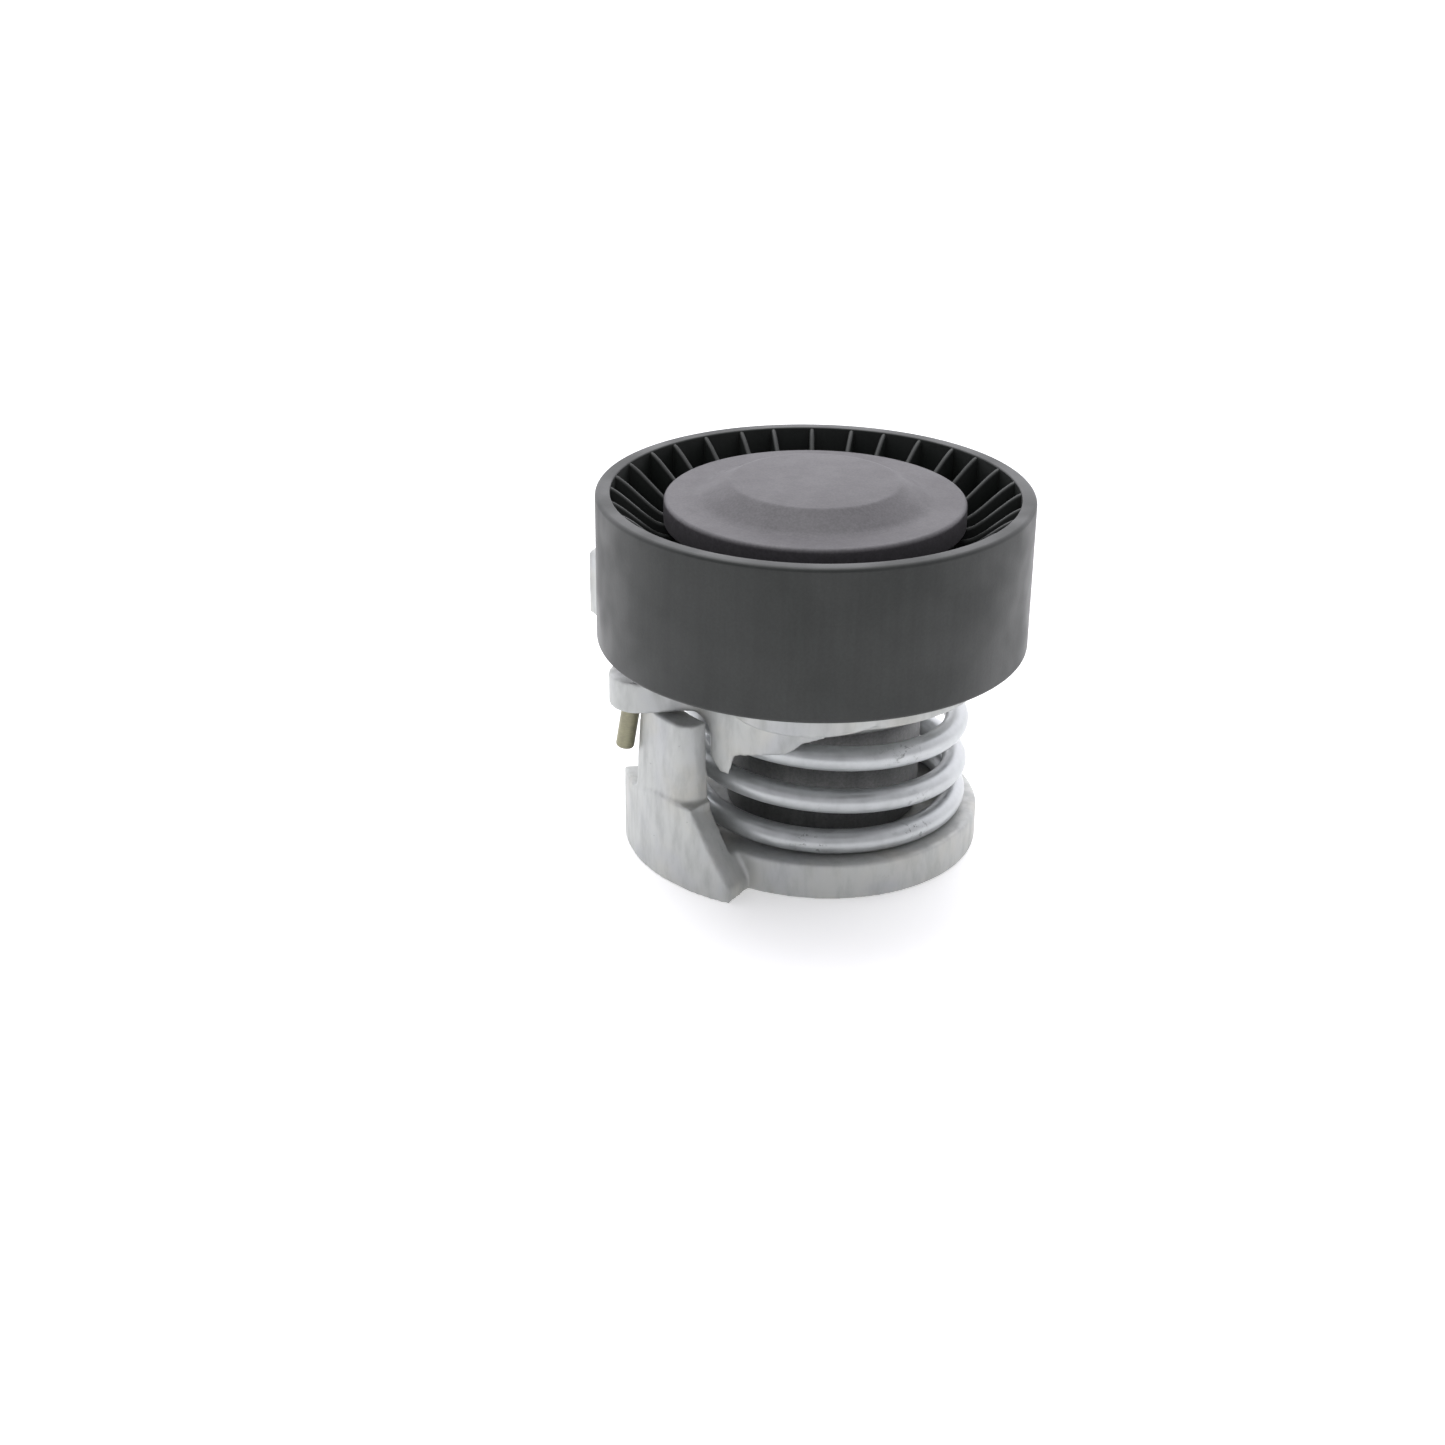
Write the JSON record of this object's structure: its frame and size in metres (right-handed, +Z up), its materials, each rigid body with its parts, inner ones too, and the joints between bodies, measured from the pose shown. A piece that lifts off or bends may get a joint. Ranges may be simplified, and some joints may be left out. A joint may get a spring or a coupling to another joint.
{
  "type": "belt tensioner",
  "caption": "Spring-loaded belt tensioner: cast base and swing arm with an open torsion spring, carrying a flat-faced ribbed idler pulley under a dust cap.",
  "frame": {"origin": "centre of the round foot's bottom face, on the arm's pivot axis", "axes": "+Z up the pivot axis towards the pulley's dust cap; +Y towards the two bolt ears; +X to the right when seen from the side opposite the ears"},
  "size_m": [0.074, 0.0937, 0.0716],
  "materials": {
    "base_casting": "as die-cast",
    "arm_casting": "as die-cast",
    "turned_steel": "turned",
    "washer_polymer": "moulded",
    "sleeve_polymer": "moulded",
    "spring_wire": "zinc-flake coated",
    "bush_bronze": "plain",
    "pin_steel": "yellow passivated",
    "bolt_steel": "phosphated",
    "bearing_steel": "ground",
    "cage_polymer": "moulded",
    "pulley_polymer": "moulded, satin from the belt",
    "cap_polymer": "moulded, fine grain",
    "seal_rubber": "moulded"
  },
  "bodies": {
    "base": {"base_casting": "base_casting", "pivot_shaft": "turned_steel", "lower_thrust_washer": "washer_polymer", "upper_thrust_washer": "washer_polymer", "shaft_retainer": "turned_steel", "spring_guide_sleeve": "sleeve_polymer", "torsion_spring": "spring_wire"},
    "arm": {"arm_casting": "arm_casting", "pivot_bush": "bush_bronze", "damping_ring": "washer_polymer", "stop_pin": "pin_steel", "pulley_bolt": "bolt_steel", "bolt_washer": "bolt_steel", "rear_dust_shield": "turned_steel", "bearing_inner_ring": "bearing_steel"},
    "ball_set": {"bearing_balls": "bearing_steel", "bearing_cage": "cage_polymer"},
    "pulley": {"pulley_body": "pulley_polymer", "dust_cap": "cap_polymer", "bearing_outer_ring": "bearing_steel", "lower_bearing_seal": "seal_rubber", "upper_bearing_seal": "seal_rubber"}
  },
  "joints": [
    {"name": "arm_swing", "type": "hinge", "parent": "base", "child": "arm", "pos_m": [0, 0, 0.02], "axis": [0, 0, -1], "range_deg": [0, 45], "stiffness_Nm_per_rad": 8, "springref_deg": -68.75, "deforming": ["torsion_spring"]},
    {"name": "pulley_spin", "type": "hinge", "parent": "arm", "child": "pulley", "pos_m": [-0.0035, -0.01842, 0.056], "axis": [0, 0, 1], "continuous": true},
    {"name": "ball_set_roll", "type": "hinge", "parent": "arm", "child": "ball_set", "pos_m": [-0.0035, -0.01842, 0.056], "axis": [0, 0, 1], "continuous": true}
  ],
  "couplings": [
    {"joint": "ball_set_roll", "follows": "pulley_spin", "ratio": 0.6182}
  ]
}
